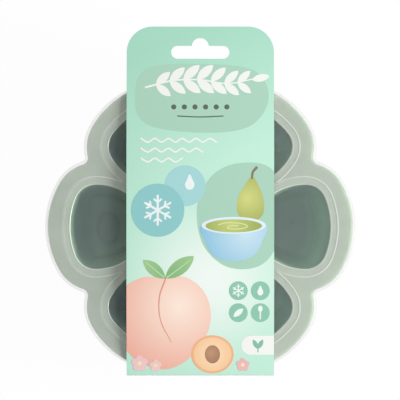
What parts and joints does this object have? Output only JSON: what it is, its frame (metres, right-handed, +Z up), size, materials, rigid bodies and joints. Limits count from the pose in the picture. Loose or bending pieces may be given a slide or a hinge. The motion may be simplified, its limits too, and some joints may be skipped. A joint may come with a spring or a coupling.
{
  "type": "baby food freezer tray",
  "caption": "Petal-shaped silicone freezer tray with a cup in each lobe, under a clear clip-on lid with sealing channels, in a folded card sleeve with a hang tab.",
  "frame": {"origin": "under the middle of the tray, on the outer face of the sleeve's back panel, which the pack lies on", "axes": "+Z up, from the cups' floors to the lid; +Y towards the hang tab; +X to the right when looking down on the lid with the tab away from the viewer"},
  "size_m": [0.2066, 0.2304, 0.0558],
  "materials": {
    "silicone": "satin",
    "clear_plastic": "gloss",
    "printed_card": "satin"
  },
  "bodies": {
    "tray": {"tray_deck": "silicone", "tray_cups": "silicone", "tray_well": "silicone", "lid": "clear_plastic"},
    "sleeve": {"sleeve": "printed_card"}
  },
  "joints": [
    {"name": "sleeve_slide", "type": "slide", "parent": "tray", "child": "sleeve", "axis": [1, 0, 0], "range_m": [-0.16, 0.16]}
  ]
}
